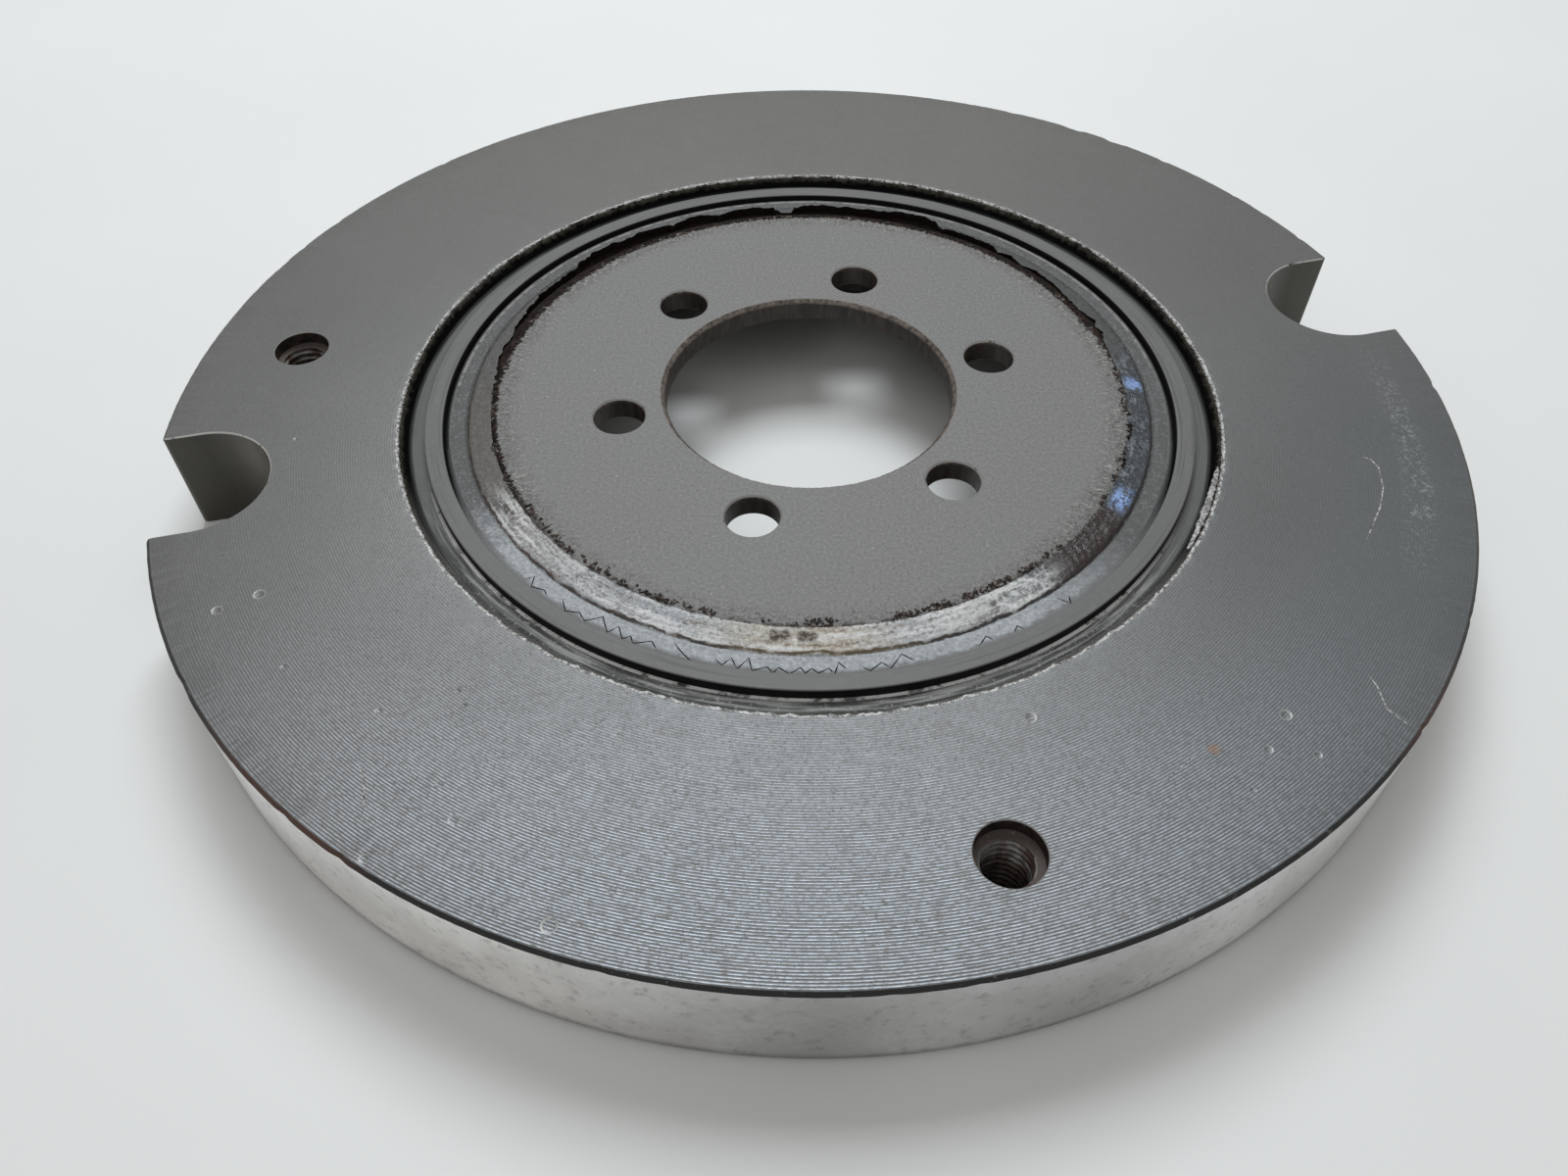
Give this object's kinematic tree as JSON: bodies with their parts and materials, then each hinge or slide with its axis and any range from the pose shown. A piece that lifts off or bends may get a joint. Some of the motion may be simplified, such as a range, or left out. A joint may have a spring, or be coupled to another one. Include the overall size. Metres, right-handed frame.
{
  "type": "crankshaft torsional vibration damper",
  "caption": "Turned inertia ring with two rim notches, carried by bonded rubber on a pressed hub cup that has a pilot bore and a circle of bolt holes.",
  "frame": {"origin": "on the crankshaft axis, in the plane of the inertia ring's rear face", "axes": "+Z along the crankshaft axis, from the rear face towards the front face; +X is 16 degrees clockwise, seen from the front, from the first rim notch"},
  "size_m": [0.21, 0.21, 0.019],
  "materials": {
    "ring_steel": "turned, dark phosphated, lightly oiled",
    "sleeve_steel": "smooth, dark grey paint",
    "rubber": "grey paint, cracked and flaking over black rubber",
    "hub_steel": "matt, dark grey paint, finely speckled"
  },
  "bodies": {
    "hub": {"hub_cup": "hub_steel", "rubber_element": "rubber"},
    "inertia": {"inertia_ring": "ring_steel", "outer_sleeve": "sleeve_steel"}
  },
  "joints": [
    {"name": "ring_twist", "type": "hinge", "parent": "hub", "child": "inertia", "pos_m": [0, 0, 0.0095], "axis": [0, 0, 1], "range_deg": [-1, 1], "stiffness_Nm_per_rad": 10000}
  ]
}
